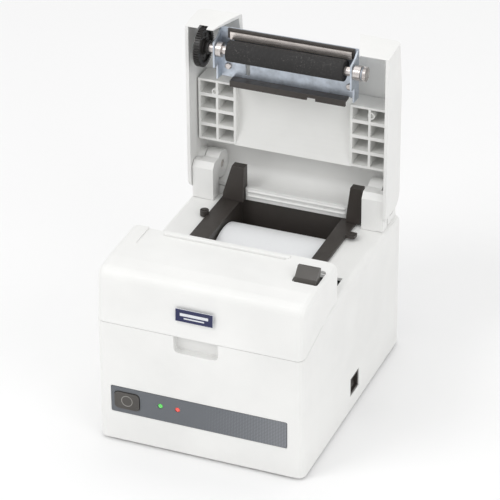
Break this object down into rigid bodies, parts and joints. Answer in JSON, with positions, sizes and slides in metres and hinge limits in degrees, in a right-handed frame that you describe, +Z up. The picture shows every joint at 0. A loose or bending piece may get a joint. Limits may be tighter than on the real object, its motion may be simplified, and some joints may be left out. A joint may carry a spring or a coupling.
{
  "type": "receipt printer",
  "caption": "Desktop thermal receipt printer with its lid open on platen roller and feed gear, paper roll in a black bay, flip-up front cover, finger lever and cutter.",
  "frame": {"origin": "on the floor under the middle of the case", "axes": "+Z up, +X to the right of a person facing the front, +Y towards the rear; the lid stands open"},
  "size_m": [0.14, 0.181, 0.2285],
  "materials": {
    "white_plastic": "moulded, fine satin grain",
    "black_plastic": "moulded, satin",
    "lever_plastic": "moulded, satin",
    "panel_plastic": "printed front panel",
    "rubber": "ground rubber",
    "zinc_sheet": "zinc-plated sheet",
    "bright_steel": "ground steel",
    "head_ceramic": "glazed",
    "paper": "coated paper",
    "card": "wound card",
    "circuit_board": "lacquered board",
    "green_lens": "clear tinted",
    "red_lens": "clear tinted",
    "badge_blue": "plain badge"
  },
  "bodies": {
    "case": {"main_case": "white_plastic", "rear_cradle": "white_plastic", "bottom_tray": "white_plastic", "foot_front_left": "rubber", "foot_front_right": "rubber", "foot_rear_left": "rubber", "foot_rear_right": "rubber", "control_strip": "panel_plastic", "power_lens": "green_lens", "error_lens": "red_lens", "panel_board": "circuit_board", "main_board": "circuit_board", "rear_panel": "zinc_sheet", "power_inlet": "black_plastic", "data_socket": "zinc_sheet", "drawer_socket": "black_plastic", "switch_housing": "black_plastic", "paper_bucket": "black_plastic", "guide_post_left": "black_plastic", "guide_post_right": "black_plastic", "hinge_tower_left": "white_plastic", "hinge_tower_right": "white_plastic", "hinge_pin_left": "bright_steel", "hinge_pin_right": "bright_steel", "print_chassis": "zinc_sheet", "feed_motor": "black_plastic", "thermal_head": "head_ceramic", "head_heatsink": "zinc_sheet", "head_spring_left": "bright_steel", "head_spring_right": "bright_steel", "cutter_frame": "zinc_sheet", "cutter_motor": "zinc_sheet"},
    "lid": {"lid_shell": "white_plastic", "lid_liner": "white_plastic", "platen_bracket": "zinc_sheet", "paper_guide": "black_plastic", "fixed_blade": "bright_steel", "blade_holder": "black_plastic", "platen_bearing_left": "bright_steel", "platen_bearing_right": "bright_steel"},
    "platen": {"platen_shaft": "bright_steel", "platen_rubber": "rubber", "platen_gear": "black_plastic"},
    "paper_roll": {"paper_roll": "paper", "roll_core": "card"},
    "latch": {"cover_lever": "lever_plastic", "latch_shaft": "zinc_sheet"},
    "front_cover": {"front_cover": "white_plastic", "name_plate": "badge_blue"},
    "feed_button": {"feed_button": "panel_plastic"},
    "power_rocker": {"power_rocker": "black_plastic"},
    "idler": {"idler_gear": "black_plastic"},
    "motor_pinion": {"motor_pinion": "bright_steel"},
    "cutter_blade": {"moving_blade": "bright_steel"},
    "cutter_pinion": {"cutter_pinion": "bright_steel"},
    "lid_sensor": {"lid_sensor_bar": "black_plastic"}
  },
  "joints": [
    {"name": "lid_hinge", "type": "hinge", "parent": "case", "child": "lid", "pos_m": [0, 0.0775, 0.1195], "axis": [1, 0, 0], "range_deg": [0, 90]},
    {"name": "platen_spin", "type": "hinge", "parent": "lid", "child": "platen", "pos_m": [0, 0.06, 0.2133], "axis": [1, 0, 0], "continuous": true},
    {"name": "paper_roll_spin", "type": "hinge", "parent": "case", "child": "paper_roll", "pos_m": [0.00125, 0.0327, 0.0665], "axis": [1, 0, 0], "continuous": true},
    {"name": "latch_lever", "type": "hinge", "parent": "case", "child": "latch", "pos_m": [0, -0.0313, 0.086], "axis": [-1, 0, 0], "range_deg": [0, 8], "stiffness_Nm_per_rad": 0.5, "springref_deg": -8.59},
    {"name": "front_cover_hinge", "type": "hinge", "parent": "case", "child": "front_cover", "pos_m": [0, -0.0349, 0.1261], "axis": [-1, 0, 0], "range_deg": [0, 65]},
    {"name": "feed_button_press", "type": "slide", "parent": "case", "child": "feed_button", "axis": [0, 1, 0], "range_m": [0, 0.0012], "stiffness_N_per_m": 400, "springref_m": -0.001},
    {"name": "power_rocker_tilt", "type": "hinge", "parent": "case", "child": "power_rocker", "pos_m": [0.0658, 0.003, 0.019], "axis": [0, 1, 0], "range_deg": [0, 16]},
    {"name": "idler_spin", "type": "hinge", "parent": "case", "child": "idler", "pos_m": [-0.058, -0.01234, 0.07957], "axis": [1, 0, 0], "continuous": true},
    {"name": "motor_pinion_spin", "type": "hinge", "parent": "case", "child": "motor_pinion", "pos_m": [-0.058, -0.02553, 0.06999], "axis": [1, 0, 0], "continuous": true},
    {"name": "cutter_blade_slide", "type": "slide", "parent": "case", "child": "cutter_blade", "axis": [0, 1, 0], "range_m": [0, 0.0036]},
    {"name": "cutter_pinion_spin", "type": "hinge", "parent": "case", "child": "cutter_pinion", "pos_m": [0.03306, -0.0606, 0.104], "axis": [0, 0, 1], "range_deg": [-43, 0]},
    {"name": "lid_sensor_press", "type": "slide", "parent": "case", "child": "lid_sensor", "axis": [0, 0, -1], "range_m": [0, 0.0015], "stiffness_N_per_m": 150, "springref_m": -0.001}
  ],
  "couplings": [
    {"joint": "motor_pinion_spin", "follows": "idler_spin", "ratio": -1.5},
    {"joint": "cutter_pinion_spin", "follows": "cutter_blade_slide", "rad_per_m": -205.76}
  ]
}
